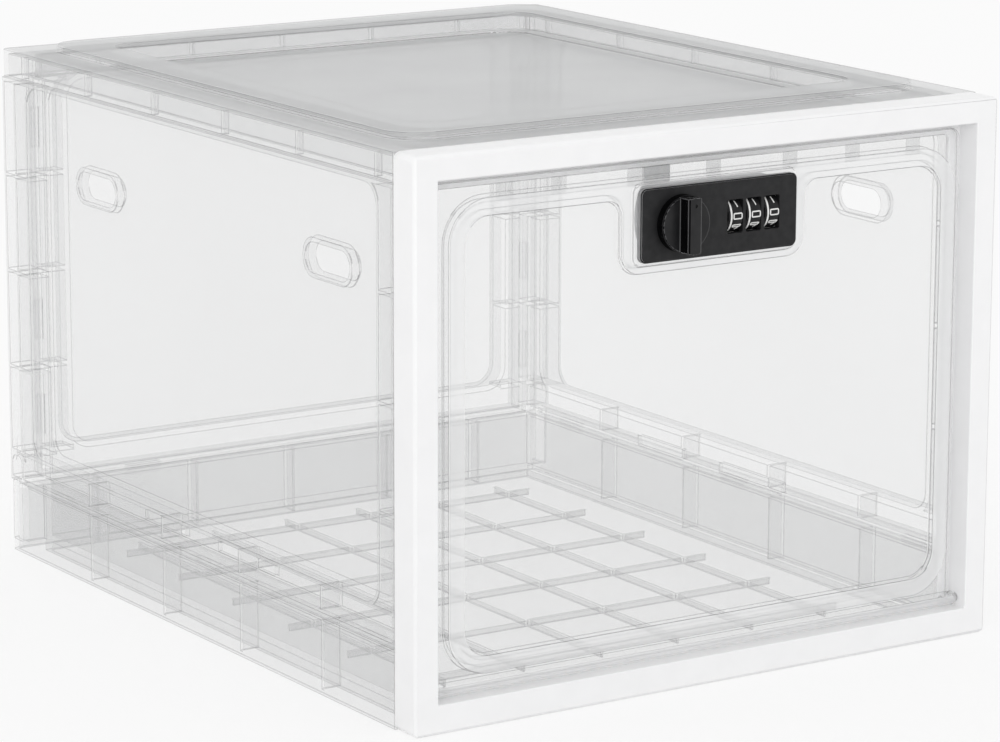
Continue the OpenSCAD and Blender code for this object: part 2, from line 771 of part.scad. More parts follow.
// Flush screws that hold the back cover on the housing
module lock_cover_screws() {
    color("silver") at_front() for (p = cover_screws()) {
        rod_y(p[0], p[1], 0.8, housing_back - 3.5, housing_back);
        difference() {
            rod_y(p[0], p[1], 1.5, housing_back, cover_back);
            translate([p[0], cover_back, p[1]]) cube([0.5, 0.8, 2.2], center = true);
            translate([p[0], cover_back, p[1]]) cube([2.2, 0.8, 0.5], center = true);
        }
    }
}

// Two screws from behind the door into the faceplate
module lock_mounting_screws() {
    seat = crest_y + wall;
    color("silver") at_front() for (x = mounting_x()) {
        rod_y(x, lock_z, 1.2, plate_y + 1, seat);
        difference() {
            rod_y(x, lock_z, 1.9, seat, seat + 1.5);
            translate([x, seat + 1.5, lock_z]) cube([0.6, 1.2, 2.6], center = true);
            translate([x, seat + 1.5, lock_z]) cube([2.6, 1.2, 0.6], center = true);
        }
    }
}

// Knob: disc, upright grip bar with rounded ends and the hub that turns in the faceplate
module knob() {
    color([0.09, 0.09, 0.09]) at_front() difference() {
        union() {
            rod_y(knob_x, lock_z, knob_r, knob_face + 0.5, knob_back);
            rod_y(knob_x, lock_z, knob_r - 0.4, knob_face, knob_back);
            intersection() {
                rod_y(knob_x, lock_z, knob_r - 0.2, knob_front, knob_face + 1);
                translate([knob_x, 0, lock_z]) {
                    block(-grip_w / 2, grip_w / 2, knob_front + 0.6, knob_face + 1, -knob_r, knob_r);
                    block(-grip_w / 2 + 0.6, grip_w / 2 - 0.6, knob_front, knob_face + 1, -knob_r, knob_r);
                }
            }
            rod_y(knob_x, lock_z, hub_r, knob_back, plate_back);
        }
        rod_y(knob_x, lock_z + knob_r * 0.7, 0.6, knob_front - 1, knob_front + 0.5);
        rod_y(knob_x, lock_z, spindle_r, knob_face + 1, plate_back + 1);
    }
}

// Spindle: shank in the knob, lobe for the fence, square end for the cam
module spindle() {
    color("silver") at_front() difference() {
        union() {
            rod_y(knob_x, lock_z, spindle_r, knob_face + 1, cam_y);
            rod_y(knob_x, lock_z, hub_r, plate_back, housing_back - 0.2);
            translate([knob_x, 0, lock_z]) rotate([0, 45, 0])
                block(-lobe_r, 0, lobe_y, lobe_y + 2.6, -2, 2);
            translate([knob_x, 0, lock_z])
                block(-square_s / 2, square_s / 2, cam_y - 0.5, cam_y + cam_t, -square_s / 2, square_s / 2);
        }
        rod_y(knob_x, lock_z, 1.2, cam_y - cam_screw_l - 1, cam_y + cam_t + 1);
        difference() {
            rod_y(knob_x, lock_z, lobe_r + 2, lobe_y - 0.1, lobe_y + 2.7);
            rod_y(knob_x, lock_z, lobe_r, lobe_y - 0.1, lobe_y + 2.7);
        }
    }
}

// Cam: flat arm with a square hole, lying to the right at rest and upright when locked
module locking_cam() {
    color("silver") at_front() difference() {
        union() {
            rod_y(knob_x, lock_z, cam_w / 2, cam_y, cam_y + cam_t);
            along_y(cam_y, cam_y + cam_t)
                rrect(knob_x, knob_x + cam_reach, lock_z - cam_w / 2, lock_z + cam_w / 2, 1.5);
        }
        translate([knob_x, 0, lock_z])
            block(-square_s / 2, square_s / 2, cam_y - 1, cam_y + cam_t + 1, -square_s / 2, square_s / 2);
    }
}

module cam_screw() {
    seat = cam_y + cam_t;
    color("silver") at_front() difference() {
        union() {
            rod_y(knob_x, lock_z, 1.2, cam_y - cam_screw_l, seat);
            rod_y(knob_x, lock_z, cam_screw_r, seat, seat + 1.6);
        }
        translate([knob_x, seat + 1.6, lock_z]) cube([0.8, 1.4, 4.6], center = true);
        translate([knob_x, seat + 1.6, lock_z]) cube([4.6, 1.4, 0.8], center = true);
    }
}

module wheel_axle() {
    color("silver") at_front()
        rod_x(wheel_y, lock_z, axle_r, wheel_bay_x0 - 1.9, wheel_bay_x1 + 1.6);
}

// Number wheel with ten finger notches along its left edge
module number_wheel(i) {
    x0 = wheel_x[i] - wheel_w / 2;
    color([0.08, 0.08, 0.08]) at_front() difference() {
        rod_x(wheel_y, lock_z, wheel_r, x0, x0 + wheel_w);
        rod_x(wheel_y, lock_z, sleeve_r, x0 - 1, x0 + wheel_w + 1);
        for (k = [0:9])
            translate([0, wheel_y, lock_z]) rotate([18 + 36 * k, 0, 0])
                rod_x(wheel_r + 0.3, 0, 0.7, x0 - 1, x0 + 1);
    }
}

module number_wheel_1() { number_wheel(0); }
module number_wheel_2() { number_wheel(1); }
module number_wheel_3() { number_wheel(2); }

// Sleeve inside a wheel, with a gated code disc at its left
module code_sleeve(i) {
    x1 = wheel_x[i] + wheel_w / 2;
    disc_x = wheel_x[i] - wheel_w / 2 - 0.4 - code_disc_t;
    color("goldenrod") at_front() difference() {
        union() {
            rod_x(wheel_y, lock_z, sleeve_r, disc_x, x1);
            rod_x(wheel_y, lock_z, code_disc_r, disc_x, disc_x + code_disc_t);
        }
        rod_x(wheel_y, lock_z, axle_r + run_gap, disc_x - 1, x1 + 1);
        block(disc_x - 1, disc_x + code_disc_t + 0.2, wheel_y - gate_w / 2, wheel_y + gate_w / 2,
              lock_z - code_disc_r - 1, lock_z - gate_r);
    }
}

module code_sleeve_1() { code_sleeve(0); }
module code_sleeve_2() { code_sleeve(1); }
module code_sleeve_3() { code_sleeve(2); }

// Leaf spring above the wheels with one finger over each
module detent_spring() {
    leaf_z = lock_z + wheel_bay_h - 0.4;
    color("lightsteelblue") at_front() union() {
        block(wheel_bay_x0, wheel_bay_x1, wheel_y + 2, wheel_y + 4.4, leaf_z, leaf_z + 0.4);
        for (x = wheel_x) {
            block(x - 2, x + 2, wheel_y - 1.5, wheel_y + 2.5, leaf_z - 0.2, leaf_z + 0.2);
            rod_x(wheel_y, leaf_z - 0.25, 0.5, x - 1, x + 1);
        }
    }
}

// Fence: bar under the wheels with a tooth below each code disc's gate
module fence() {
    z0 = lock_z - fence_drop;
    color("silver") at_front() union() {
        block(knob_x - 3.6, wheel_bay_x1 - 0.3, wheel_y - fence_half, wheel_y + fence_half, z0, z0 + fence_h);
        for (x = wheel_x) {
            disc_mid = x - wheel_w / 2 - 0.4 - code_disc_t / 2;
            block(disc_mid - 0.5, disc_mid + 0.5, wheel_y - 1, wheel_y + 1,
                  z0 + fence_h - 0.5, lock_z - code_disc_r - fence_play);
        }
    }
}

// Push button that lets the owner set a new code from behind
module reset_button() {
    color("dimgray") at_front() union() {
        rod_y(reset_x, reset_z, reset_r, housing_back - 3.7, cover_back + 1.8);
        rod_y(reset_x, reset_z, reset_flange_r, housing_back - reset_flange_t, housing_back - run_gap);
    }
}

base_tray();
left_side_panel();
right_side_panel();
back_panel();
top_cover();
front_frame();
strike_plate();
strike_rivets();
door_panel();
hinge_pin_left();
hinge_pin_right();
lock_faceplate();
lock_housing();
lock_back_cover();
lock_mounting_screws();
lock_cover_screws();
knob();
spindle();
locking_cam();
cam_screw();
wheel_axle();
number_wheel_1();
number_wheel_2();
number_wheel_3();
code_sleeve_1();
code_sleeve_2();
code_sleeve_3();
detent_spring();
fence();
reset_button();
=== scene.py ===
# Looks of the clear lockable storage box: finishes, softened edges, wheel figures, floor, light
# and camera. Lengths are in metres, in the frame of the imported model, where no comment says
# otherwise.
import math

import bmesh
import bpy
from mathutils import Matrix, Vector


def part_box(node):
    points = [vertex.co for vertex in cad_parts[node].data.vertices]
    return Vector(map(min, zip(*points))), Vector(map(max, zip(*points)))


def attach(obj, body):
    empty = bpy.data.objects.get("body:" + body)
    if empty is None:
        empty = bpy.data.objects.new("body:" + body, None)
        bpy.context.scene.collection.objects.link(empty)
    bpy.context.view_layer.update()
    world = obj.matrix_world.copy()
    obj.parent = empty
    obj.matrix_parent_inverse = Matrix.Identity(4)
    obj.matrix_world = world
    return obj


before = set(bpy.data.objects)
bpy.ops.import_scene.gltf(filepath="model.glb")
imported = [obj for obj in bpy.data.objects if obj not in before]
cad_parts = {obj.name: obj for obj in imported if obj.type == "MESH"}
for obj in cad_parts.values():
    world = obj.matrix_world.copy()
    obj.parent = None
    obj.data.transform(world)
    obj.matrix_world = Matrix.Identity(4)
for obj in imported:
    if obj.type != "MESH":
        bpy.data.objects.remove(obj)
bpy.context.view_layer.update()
scene = bpy.context.scene

MM = 0.001
# Outside every place and every direction, for a rule without a limit on that side
FAR = 2
# Values that a noise texture spends most of its area between
SPREAD = (0.3, 0.7)


# Node helpers
def new_material(name):
    material = bpy.data.materials.new(name)
    material.use_nodes = True
    nt = material.node_tree
    nt.nodes.clear()
    out = nt.nodes.new("ShaderNodeOutputMaterial")
    shader = nt.nodes.new("ShaderNodeBsdfPrincipled")
    nt.links.new(shader.outputs["BSDF"], out.inputs["Surface"])
    return material, nt, shader


def noise(nt, scale, detail=3.0, stretch=(1, 1, 1)):
    place = nt.nodes.new("ShaderNodeTexCoord")
    mapping = nt.nodes.new("ShaderNodeMapping")
    mapping.inputs["Scale"].default_value = stretch
    texture = nt.nodes.new("ShaderNodeTexNoise")
    texture.inputs["Scale"].default_value = scale
    texture.inputs["Detail"].default_value = detail
    nt.links.new(place.outputs["Object"], mapping.inputs["Vector"])
    nt.links.new(mapping.outputs["Vector"], texture.inputs["Vector"])
    return texture.outputs["Fac"]


def tinted(nt, fac, colour, vary):
    """The colour, darker where the noise is low and lighter where it is high."""
    ramp = nt.nodes.new("ShaderNodeValToRGB")
    for stop, place, shift in zip(ramp.color_ramp.elements, SPREAD, (-vary, vary)):
        stop.position = place
        stop.color = (*(max(0.0, min(1.0, c + shift)) for c in colour), 1)
    nt.links.new(fac, ramp.inputs["Fac"])
    return ramp.outputs["Color"]


def span(nt, fac, low, high):
    """The noise spread over low to high."""
    m = nt.nodes.new("ShaderNodeMapRange")
    m.inputs["From Min"].default_value, m.inputs["From Max"].default_value = SPREAD
    m.inputs["To Min"].default_value = low
    m.inputs["To Max"].default_value = high
    nt.links.new(fac, m.inputs["Value"])
    return m.outputs["Result"]


def bump(nt, fac, strength, distance):
    b = nt.nodes.new("ShaderNodeBump")
    b.inputs["Strength"].default_value = strength
    b.inputs["Distance"].default_value = distance
    nt.links.new(fac, b.inputs["Height"])
    return b.outputs["Normal"]


def fill(links, sockets, values):
    """Links each value that is a socket, and sets each that is a number."""
    for socket, value in zip(sockets, values):
        if hasattr(value, "is_linked"):
            links.new(value, socket)
        else:
            socket.default_value = value


def maths(nt, operation, *values):
    n = nt.nodes.new("ShaderNodeMath")
    n.operation = operation
    fill(nt.links, n.inputs, values)
    return n.outputs[0]


def seen_directly(nt):
    """1 for rays from the camera, a mirror or glass, and 0 for those that light a surface."""
    path = nt.nodes.new("ShaderNodeLightPath")
    return maths(nt, "MAXIMUM", path.outputs["Is Camera Ray"],
                 maths(nt, "MAXIMUM", path.outputs["Is Glossy Ray"],
                       path.outputs["Is Transmission Ray"]))


# How much coarser or finer the changes of gloss and the grain are than those of colour, and how
# deep the grain is
GLOSS_SCALE, GRAIN_SCALE, GRAIN_DEPTH = 0.6, 6, 0.2 * MM


def finish_of(name, colour, vary, rough, metal=0.0, scale=90.0, stretch=(1, 1, 1),
              relief=0.05, specular=0.5):
    """An opaque finish with slight changes of colour and gloss, and a fine moulded grain."""
    material, nt, shader = new_material(name)
    nt.links.new(tinted(nt, noise(nt, scale, stretch=stretch), colour, vary),
                 shader.inputs["Base Color"])
    nt.links.new(span(nt, noise(nt, scale * GLOSS_SCALE, stretch=stretch), *rough),
                 shader.inputs["Roughness"])
    grain = noise(nt, scale * GRAIN_SCALE, stretch=stretch)
    nt.links.new(bump(nt, grain, relief, GRAIN_DEPTH), shader.inputs["Normal"])
    shader.inputs["Metallic"].default_value = metal
    shader.inputs["Specular IOR Level"].default_value = specular
    return material


# Painted highlights go on strips that face up or forward. A strip faces up or forward when that
# part of its normal is over the first, and is upright when the upward part is under the second
FACING, LEANING = 0.7, 0.25


def with_painted_highlights(nt, colour, highlight):
    """The colour, but painted light on strips that face up, or forward on an upright edge: a
    painted highlight.
    """
    facing = nt.nodes.new("ShaderNodeSeparateXYZ")
    nt.links.new(nt.nodes.new("ShaderNodeTexCoord").outputs["Normal"], facing.inputs[0])
    up = maths(nt, "GREATER_THAN", facing.outputs["Z"], FACING)
    upright = maths(nt, "LESS_THAN", maths(nt, "ABSOLUTE", facing.outputs["Z"]), LEANING)
    forward = maths(nt, "MULTIPLY", maths(nt, "LESS_THAN", facing.outputs["Y"], -FACING), upright)
    mix = nt.nodes.new("ShaderNodeMix")
    mix.data_type = "RGBA"
    nt.links.new(maths(nt, "MAXIMUM", up, forward), mix.inputs[0])
    nt.links.new(colour, mix.inputs[6])
    mix.inputs[7].default_value = (highlight, highlight, highlight, 1)
    return mix.outputs[2]


# The base's tongues and the corner hooks of the walls: where the middle of each lies inside the
# base's outer faces or below its top, and half its size
TONGUE_INSET = 5 * MM
TONGUE_HALF = 1.15 * MM
TONGUE_DROP = 2.2 * MM
TONGUE_HALF_H = 2.35 * MM
HOOK_INSET = 7 * MM
CORNER_INSET = 11 * MM
CORNER_HALF = 4.1 * MM
# How much of its strength a tongue loses
TONGUE_FADE = 0.8


def away_from_tongues(nt):
    """1 over most of a wall, and lower on the tongues hidden between base and walls."""
    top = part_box("base_tray")[1]
    at = nt.nodes.new("ShaderNodeSeparateXYZ")
    nt.links.new(nt.nodes.new("ShaderNodeTexCoord").outputs["Object"], at.inputs[0])
    x = maths(nt, "ABSOLUTE", at.outputs["X"])
    y = at.outputs["Y"]
    side = maths(nt, "COMPARE", x, top.x - TONGUE_INSET, TONGUE_HALF)
    back = maths(nt, "COMPARE", y, top.y - TONGUE_INSET, TONGUE_HALF)
    low = maths(nt, "COMPARE", at.outputs["Z"], top.z - TONGUE_DROP, TONGUE_HALF_H)
    hook = maths(nt, "COMPARE", y, top.y - HOOK_INSET, TONGUE_HALF)
    corner = maths(nt, "COMPARE", x, top.x - CORNER_INSET, CORNER_HALF)
    tongue = maths(nt, "MULTIPLY", maths(nt, "MAXIMUM", side, back), low)
    hidden = maths(nt, "MAXIMUM", tongue, maths(nt, "MULTIPLY", hook, corner))
    return maths(nt, "SUBTRACT", 1.0, maths(nt, "MULTIPLY", hidden, TONGUE_FADE))


# How much of its shadow a clear piece loses
SHADOW_FADE = 0.8
# How much coarser or finer its clouds, its changes of gloss and its waves are than its changes of
# colour, and how deep the waves are
CLOUD_SCALE, CLEAR_GLOSS_SCALE, WAVE_SCALE, WAVE_DEPTH = 0.5, 1.7, 3, 0.3 * MM


def clear(name, colour, alpha, rough=(0.08, 0.16), vary=0.015, scale=14.0, specular=0.5,
          highlight=None, wave=0.03, cloud=0.07):
    """Moulded clear plastic, which casts only a faint shadow."""
    material, nt, shader = new_material(name)
    col = tinted(nt, noise(nt, scale, detail=2.0), colour, vary)
    # With a highlight given, softened strips that face up or forward are painted near white:
    # painted highlights
    if highlight:
        col = with_painted_highlights(nt, col, highlight)
    nt.links.new(col, shader.inputs["Base Color"])
    nt.links.new(span(nt, noise(nt, scale * CLEAR_GLOSS_SCALE), *rough),
                 shader.inputs["Roughness"])
    fade = span(nt, noise(nt, scale * CLOUD_SCALE), alpha * (1 - cloud), alpha * (1 + cloud))
    if name.startswith(("clear_shell", "clear_base")):
        fade = maths(nt, "MULTIPLY", fade, away_from_tongues(nt))
    shadow = nt.nodes.new("ShaderNodeLightPath").outputs["Is Shadow Ray"]
    pass_on = maths(nt, "SUBTRACT", 1.0, maths(nt, "MULTIPLY", shadow, SHADOW_FADE))
    nt.links.new(maths(nt, "MULTIPLY", fade, pass_on), shader.inputs["Alpha"])
    nt.links.new(bump(nt, noise(nt, scale * WAVE_SCALE), wave, WAVE_DEPTH),
                 shader.inputs["Normal"])
    shader.inputs["Specular IOR Level"].default_value = specular
    return material


def clear_edge(name, grey, alpha, highlight):
    """A softened edge of clear plastic, painted dark grey as a shade line where refraction darkens
    a clear edge, with painted highlights on strips that face up or forward.
    """
    return clear(name, (grey, grey + 0.002, grey + 0.005), alpha, rough=(0.12, 0.2), highlight=highlight)


# Finishes
CLEAR = clear("clear_shell", (0.72, 0.725, 0.73), 0.11)
CLEAR_RIM = clear("clear_shell_rim", (0.70, 0.705, 0.71), 0.22)
# Edge finish: dark grey painted shade lines with painted highlights, in place of the dark and
# bright lines that refraction and gloss give a clear edge
CLEAR_EDGE = clear_edge("clear_shell_edge", 0.22, 0.44, highlight=0.96)
BASE = clear("clear_base", (0.62, 0.625, 0.63), 0.15)
# The ribs' sides: a paler copy of the clear plastic, painted light against the shade inside the
# base
RIB_LIT = clear("clear_shell_rib_painted_light", (0.92, 0.922, 0.925), 0.12)
COVER = clear("clear_cover", (0.74, 0.745, 0.75), 0.125)
# The cover's flat faces, up and down: denser, darker grey and less glossy, a painted reflection of
# the grey studio seen at a grazing angle
COVER_FLAT_REFLECTION = clear("clear_cover_painted_reflection", (0.585, 0.59, 0.595), 0.54, rough=(0.30, 0.37),
                  specular=0.12, vary=0.01, wave=0.01, cloud=0.03)
COVER_RIM = clear("clear_cover_rim", (0.62, 0.625, 0.63), 0.30)
# Edge finish of the cover: painted shade lines with painted highlights
COVER_EDGE = clear_edge("clear_cover_edge", 0.24, 0.42, highlight=0.97)
TAB = clear("clear_tab", (0.66, 0.665, 0.67), 0.22)
DOOR = clear("clear_door", (0.84, 0.845, 0.85), 0.09)
DOOR_CREST = clear("clear_door_crest", (0.88, 0.885, 0.89), 0.34)
DOOR_RIM = clear("clear_door_rim", (0.70, 0.705, 0.71), 0.24)
# Edge finish of the door: painted shade lines with painted highlights
DOOR_EDGE = clear_edge("clear_door_edge", 0.24, 0.45, highlight=0.97)
WHITE = finish_of("white_frame", (0.925, 0.925, 0.93), 0.01, (0.3, 0.42))
PLATE = finish_of("black_plate", (0.014, 0.014, 0.015), 0.004, (0.42, 0.55), scale=300,
                  specular=0.25)
PLATE_SIDE = finish_of("black_plate_side", (0.30, 0.30, 0.305), 0.03, (0.35, 0.5), scale=300,
                       specular=0.3)
KNOB = finish_of("black_knob", (0.013, 0.013, 0.014), 0.004, (0.29, 0.37), scale=160,
                 specular=0.25)
# The knob's sideways faces: a darker, less glossy copy of the knob's black, painted shade
KNOB_SIDE_SHADE = finish_of("black_knob_painted_shade_side", (0.0025, 0.0025, 0.0028), 0.001, (0.19, 0.26),
                      scale=160, specular=0.04)
# The knob's softened front edges: a lighter black, a painted glint
KNOB_EDGE_GLINT = finish_of("black_knob_painted_glint_edge", (0.055, 0.055, 0.057), 0.01, (0.19, 0.26), scale=160)
WHEEL = finish_of("number_wheels", (0.010, 0.010, 0.011), 0.003, (0.35, 0.5), scale=300,
                  specular=0.2)
# White for the wheel figures, which are print, and for the ring lines, which are painted highlights
PRINT_AND_GLINT = finish_of("white_print_and_glint", (0.80, 0.80, 0.79), 0.03, (0.4, 0.5), scale=600)
BODY = finish_of("lock_body", (0.42, 0.425, 0.43), 0.03, (0.35, 0.5), metal=0.15, scale=120)
STRIKE = finish_of("strike_steel", (0.88, 0.885, 0.89), 0.03, (0.3, 0.42), scale=60,
                   stretch=(8, 1, 1))
STEEL = finish_of("steel_parts", (0.50, 0.51, 0.52), 0.05, (0.29, 0.42), metal=0.9, scale=60,
                  stretch=(8, 1, 1))
BRASS = finish_of("brass_sleeves", (0.60, 0.45, 0.20), 0.04, (0.29, 0.4), metal=0.9, scale=80)

# Material slots of a CAD node after that of its plain faces: softened edges, ends and sides, and
# one more kind of face
EDGE_SLOT, SIDE_SLOT, EXTRA_SLOT = 1, 2, 3
# Materials of each CAD node by slot. The nodes that aren't named here are of steel.
LOOK = {
    "base_tray": (BASE, CLEAR_EDGE, CLEAR_RIM, RIB_LIT),
    "left_side_panel": (CLEAR, CLEAR_EDGE, CLEAR_RIM),
    "right_side_panel": (CLEAR, CLEAR_EDGE, CLEAR_RIM),
    "back_panel": (CLEAR, CLEAR_EDGE, CLEAR_RIM),
    "top_cover": (COVER, COVER_EDGE, COVER_RIM, COVER_FLAT_REFLECTION),
    "door_panel": (DOOR, DOOR_EDGE, DOOR_RIM, DOOR_CREST),
    "hinge_pin_left": (DOOR, DOOR_EDGE),
    "hinge_pin_right": (DOOR, DOOR_EDGE),
    "front_frame": (WHITE, WHITE),
    "lock_faceplate": (PLATE, PLATE, PLATE_SIDE),
    "reset_button": (PLATE, PLATE),
    "knob": (KNOB, KNOB_EDGE_GLINT, KNOB_SIDE_SHADE),
    "strike_plate": (STRIKE, STRIKE),
    "lock_housing": (BODY, BODY),
    "lock_back_cover": (BODY, BODY),
}
WHEELS = (1, 2, 3)
for i in WHEELS:
    LOOK["number_wheel_%d" % i] = (WHEEL, WHEEL)
    LOOK["code_sleeve_%d" % i] = (BRASS, BRASS)


# Faces that meet at more than this belong to separate patches
PATCH_ANGLE = math.radians(30)


# Geometry nodes: a new group that passes a mesh through
class Group:
    def __init__(self, name):
        self.tree = bpy.data.node_groups.new(name, "GeometryNodeTree")
        for way in ("INPUT", "OUTPUT"):
            self.tree.interface.new_socket("Geometry", in_out=way,
                                           socket_type="NodeSocketGeometry")
        self.source = self.add("NodeGroupInput").outputs[0]

    def add(self, kind, **settings):
        n = self.tree.nodes.new(kind)
        for key, value in settings.items():
            setattr(n, key, value)
        return n

    def link(self, start, end):
        self.tree.links.new(start, end)

    def calc(self, operation, *values):
        n = self.add("ShaderNodeMath", operation=operation)
        fill(self.tree.links, n.inputs, values)
        return n.outputs[0]

    def part(self, kind, axis):
        """One coordinate of a field, such as the position or the normal."""
        n = self.add("ShaderNodeSeparateXYZ")
        self.link(self.add(kind).outputs[0], n.inputs[0])
        return n.outputs[axis]

    def total(self, value, domain, group):
        n = self.add("GeometryNodeAccumulateField", data_type="FLOAT", domain=domain)
        self.link(value, n.inputs["Value"])
        self.link(group, n.inputs["Group ID"])
        return n.outputs["Total"]

    def on_edges(self, value):
        n = self.add("GeometryNodeFieldOnDomain", data_type="FLOAT", domain="EDGE")
        self.link(value, n.inputs[0])
        return n.outputs[0]

    def edge_angle(self):
        return self.add("GeometryNodeInputMeshEdgeAngle").outputs["Unsigned Angle"]

    def edge_length(self):
        ends = self.add("GeometryNodeInputMeshEdgeVertices")
        gap = self.add("ShaderNodeVectorMath", operation="DISTANCE")
        self.link(ends.outputs["Position 1"], gap.inputs[0])
        self.link(ends.outputs["Position 2"], gap.inputs[1])
        return gap.outputs["Value"]

    def paint(self, mesh, selection, slot):
        n = self.add("GeometryNodeSetMaterialIndex")
        self.link(mesh, n.inputs["Geometry"])
        self.link(self.calc("GREATER_THAN", selection, 0.5), n.inputs["Selection"])
        n.inputs["Material Index"].default_value = slot
        return n.outputs[0]

    def narrow(self, width, least_area):
        """For each face, whether its patch between sharp edges is narrow and not too small."""
        split = self.add("GeometryNodeSplitEdges")
        self.link(self.source, split.inputs["Mesh"])
        self.link(self.calc("GREATER_THAN", self.edge_angle(), PATCH_ANGLE),
                  split.inputs["Selection"])
        patch = self.add("GeometryNodeInputMeshIsland").outputs["Island Index"]
        area = self.total(self.add("GeometryNodeInputMeshFaceArea").outputs["Area"], "FACE",
                          patch)
        count = self.add("GeometryNodeInputMeshEdgeNeighbors").outputs["Face Count"]
        border = self.calc("MULTIPLY", self.edge_length(), self.calc("LESS_THAN", count, 1.5))
        around = self.on_edges(self.total(border, "EDGE", patch))
        across = self.calc("DIVIDE", self.calc("MULTIPLY", area, 2.0), around)
        chosen = self.calc("MULTIPLY", self.calc("LESS_THAN", across, width),
                           self.calc("GREATER_THAN", area, least_area))
        sample = self.add("GeometryNodeSampleIndex", data_type="FLOAT", domain="FACE")
        self.link(split.outputs["Mesh"], sample.inputs["Geometry"])
        self.link(chosen, sample.inputs["Value"])
        self.link(self.add("GeometryNodeInputIndex").outputs[0], sample.inputs["Index"])
        return sample.outputs[0]

    def done(self, mesh):
        self.link(mesh, self.add("NodeGroupOutput").inputs[0])
        return self.tree


def face_slots(name, rules=(), narrow=None):
    """Gives some faces of a CAD node their own material slot.

    A rule is (facing axis, least, most, place axis, from, to, slot). narrow is the widest strip,
    and the least area, of an end face of a clear wall.
    """
    g = Group(name)
    mesh = g.source
    for axis, least, most, place, start, end, slot in rules:
        facing = g.part("GeometryNodeInputNormal", axis)
        at = g.part("GeometryNodeInputPosition", place)
        chosen = g.calc("MULTIPLY", g.calc("GREATER_THAN", facing, least),
                        g.calc("LESS_THAN", facing, most))
        chosen = g.calc("MULTIPLY", chosen, g.calc("GREATER_THAN", at, start))
        mesh = g.paint(mesh, g.calc("MULTIPLY", chosen, g.calc("LESS_THAN", at, end)), slot)
    if narrow:
        mesh = g.paint(mesh, g.narrow(*narrow), SIDE_SLOT)
    return g.done(mesh)


# An edge sharper than this is softened
SHARP = math.radians(35)
# A strip this many bevels wide has room for one along each side
ROOM = 2.1


def bevel_weights(name, width, front_of=FAR, longer=0.0):
    """Gives a bevel weight to each sharp edge that has room for a bevel of this width.

    It also has to lie in front of the y front_of, and to be longer than longer.
    """
    g = Group(name)
    # The share of an edge's faces that lie in a strip too narrow for the bevel
    crowded = g.on_edges(g.narrow(ROOM * width, least_area=-1.0))
    weight = g.calc("MULTIPLY", g.calc("GREATER_THAN", g.edge_angle(), SHARP),
                    g.calc("LESS_THAN", crowded, 0.01))
    place = g.on_edges(g.part("GeometryNodeInputPosition", "Y"))
    weight = g.calc("MULTIPLY", weight, g.calc("LESS_THAN", place, front_of))
    weight = g.calc("MULTIPLY", weight, g.calc("GREATER_THAN", g.edge_length(), longer))
    store = g.add("GeometryNodeStoreNamedAttribute", data_type="FLOAT", domain="EDGE")
    g.link(g.source, store.inputs["Geometry"])
    store.inputs["Name"].default_value = "bevel_weight_edge"
    g.link(weight, store.inputs["Value"])
    return g.done(store.outputs[0])


# Ways that a face can point along an axis, as the least and most of its normal on that axis
TO_LOW, TO_HIGH, ACROSS = (-FAR, -0.5), (0.5, FAR), (-0.5, 0.5)
ANYWHERE = (-FAR, FAR)
# Ends of the clear walls: the widest strip, and the least area
WALL_ENDS = (2.3 * MM, 14 * MM * MM)
COVER_ENDS = (2.3 * MM, 60 * MM * MM)
# The base's ribs lie within this of its outer faces
RIB_BAY = 9.5 * MM
# Depth of the band that holds the faceplate's outer sides
PLATE_RIM = 1.0 * MM
# The door's ridge lies less than this behind its frontmost point
CREST_DEPTH = 1.2 * MM

base_lo, base_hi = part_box("base_tray")
plate_lo, plate_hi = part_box("lock_faceplate")
crest_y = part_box("door_panel")[0].y + CREST_DEPTH

# The ribs' sides take the painted light finish
rib_rules = [("Y", *way, "X", *bay, EXTRA_SLOT)
             for bay in ((-FAR, base_lo.x + RIB_BAY), (base_hi.x - RIB_BAY, FAR))
             for way in (TO_LOW, TO_HIGH)]
rib_rules += [("X", *way, "Y", base_hi.y - RIB_BAY, FAR, EXTRA_SLOT)
              for way in (TO_LOW, TO_HIGH)]
# The cover's flat faces take the painted reflection finish
flat_reflection_rules = [("Z", *way, "Z", *ANYWHERE, EXTRA_SLOT) for way in (TO_HIGH, TO_LOW)]
crest_rules = [("Y", *TO_LOW, "Y", -FAR, crest_y, EXTRA_SLOT)]
plate_rules = [("Y", *ACROSS, axis, *band, SIDE_SLOT)
               for axis, low, high in (("X", plate_lo.x, plate_hi.x), ("Z", plate_lo.z, plate_hi.z))
               for band in ((-FAR, low + PLATE_RIM), (high - PLATE_RIM, FAR))]
# The knob's sideways faces take the painted shade finish
knob_rules = [("Y", *ACROSS, "Y", *ANYWHERE, SIDE_SLOT)]
SLOTS = {
    "base_tray": face_slots("base_slots", rib_rules, WALL_ENDS),
    "top_cover": face_slots("cover_slots", flat_reflection_rules, COVER_ENDS),
    "door_panel": face_slots("door_slots", crest_rules, WALL_ENDS),
    "lock_faceplate": face_slots("plate_slots", plate_rules),
    "knob": face_slots("knob_slots", knob_rules),
}
WALL_SLOTS = face_slots("wall_slots", narrow=WALL_ENDS)

# Widths of the softened edges
SOFT = {"front_frame": 0.5 * MM, "lock_faceplate": 0.2 * MM, "knob": 0.25 * MM}
CLEAR_SOFT = 0.4 * MM
PLAIN_SOFT = 0.2 * MM
